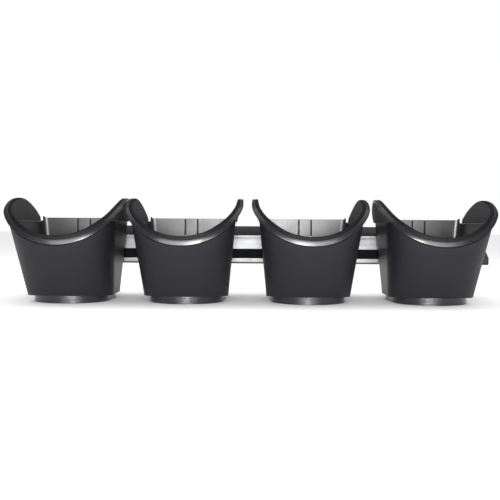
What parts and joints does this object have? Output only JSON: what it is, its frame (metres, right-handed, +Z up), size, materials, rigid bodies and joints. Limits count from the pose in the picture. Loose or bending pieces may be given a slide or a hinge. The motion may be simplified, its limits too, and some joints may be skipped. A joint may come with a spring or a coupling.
{
  "type": "rail-mounted saddle cup holder",
  "caption": "Row of saddle-rimmed cups, each with raised side ears, sliding on a horizontal aluminium rail behind them.",
  "frame": {"origin": "middle of the assembly's footprint, on the surface the cups stand on", "axes": "+X along the rail to the right, -Y towards the front of the cups, +Z up"},
  "size_m": [0.5, 0.1388, 0.1011],
  "materials": {
    "rail_aluminium": "satin anodised",
    "strip_black": "matte",
    "cap_black": "satin",
    "screw_steel": "satin",
    "gloss_black": "gloss",
    "gloss_trim": "gloss",
    "matte_charcoal": "fine matte texture",
    "soft_rim": "soft touch",
    "bracket_black": "matte"
  },
  "bodies": {
    "rail": {"rail": "rail_aluminium", "rail_groove_strip": "strip_black", "rail_top_strip": "gloss_black", "end_cap_left": "cap_black", "end_cap_screw_left": "screw_steel", "end_cap_right": "cap_black", "end_cap_screw_right": "screw_steel"},
    "holder_1": {"base_plug_1": "gloss_black", "cup_liner_1": "gloss_black", "front_shell_1": "matte_charcoal", "saddle_rim_1": "soft_rim", "rim_trim_1": "gloss_trim", "rail_carriage_1": "bracket_black", "carriage_screws_1": "screw_steel"},
    "latch_1": {"latch_tongue_1": "gloss_black"},
    "holder_2": {"base_plug_2": "gloss_black", "cup_liner_2": "gloss_black", "front_shell_2": "matte_charcoal", "saddle_rim_2": "soft_rim", "rim_trim_2": "gloss_trim", "rail_carriage_2": "bracket_black", "carriage_screws_2": "screw_steel"},
    "latch_2": {"latch_tongue_2": "gloss_black"},
    "holder_3": {"base_plug_3": "gloss_black", "cup_liner_3": "gloss_black", "front_shell_3": "matte_charcoal", "saddle_rim_3": "soft_rim", "rim_trim_3": "gloss_trim", "rail_carriage_3": "bracket_black", "carriage_screws_3": "screw_steel"},
    "latch_3": {"latch_tongue_3": "gloss_black"},
    "holder_4": {"base_plug_4": "gloss_black", "cup_liner_4": "gloss_black", "front_shell_4": "matte_charcoal", "saddle_rim_4": "soft_rim", "rim_trim_4": "gloss_trim", "rail_carriage_4": "bracket_black", "carriage_screws_4": "screw_steel"},
    "latch_4": {"latch_tongue_4": "gloss_black"}
  },
  "joints": [
    {"name": "holder_1_slide", "type": "slide", "parent": "rail", "child": "holder_1", "axis": [1, 0, 0], "range_m": [-0.029, 0.0003]},
    {"name": "latch_1_flex", "type": "hinge", "parent": "holder_1", "child": "latch_1", "pos_m": [-0.1805, 0.0436, 0.0304], "axis": [1, 0, 0], "range_deg": [0, 5], "stiffness_Nm_per_rad": 0.6},
    {"name": "holder_2_slide", "type": "slide", "parent": "rail", "child": "holder_2", "axis": [1, 0, 0], "range_m": [-0.0003, 0.0035]},
    {"name": "latch_2_flex", "type": "hinge", "parent": "holder_2", "child": "latch_2", "pos_m": [-0.0671, 0.0436, 0.0304], "axis": [1, 0, 0], "range_deg": [0, 5], "stiffness_Nm_per_rad": 0.6},
    {"name": "holder_3_slide", "type": "slide", "parent": "rail", "child": "holder_3", "axis": [1, 0, 0], "range_m": [-0.0035, 0.0035]},
    {"name": "latch_3_flex", "type": "hinge", "parent": "holder_3", "child": "latch_3", "pos_m": [0.0528, 0.0436, 0.0304], "axis": [1, 0, 0], "range_deg": [0, 5], "stiffness_Nm_per_rad": 0.6},
    {"name": "holder_4_slide", "type": "slide", "parent": "rail", "child": "holder_4", "axis": [1, 0, 0], "range_m": [-0.0035, 0.037]},
    {"name": "latch_4_flex", "type": "hinge", "parent": "holder_4", "child": "latch_4", "pos_m": [0.1727, 0.0436, 0.0304], "axis": [1, 0, 0], "range_deg": [0, 5], "stiffness_Nm_per_rad": 0.6}
  ]
}
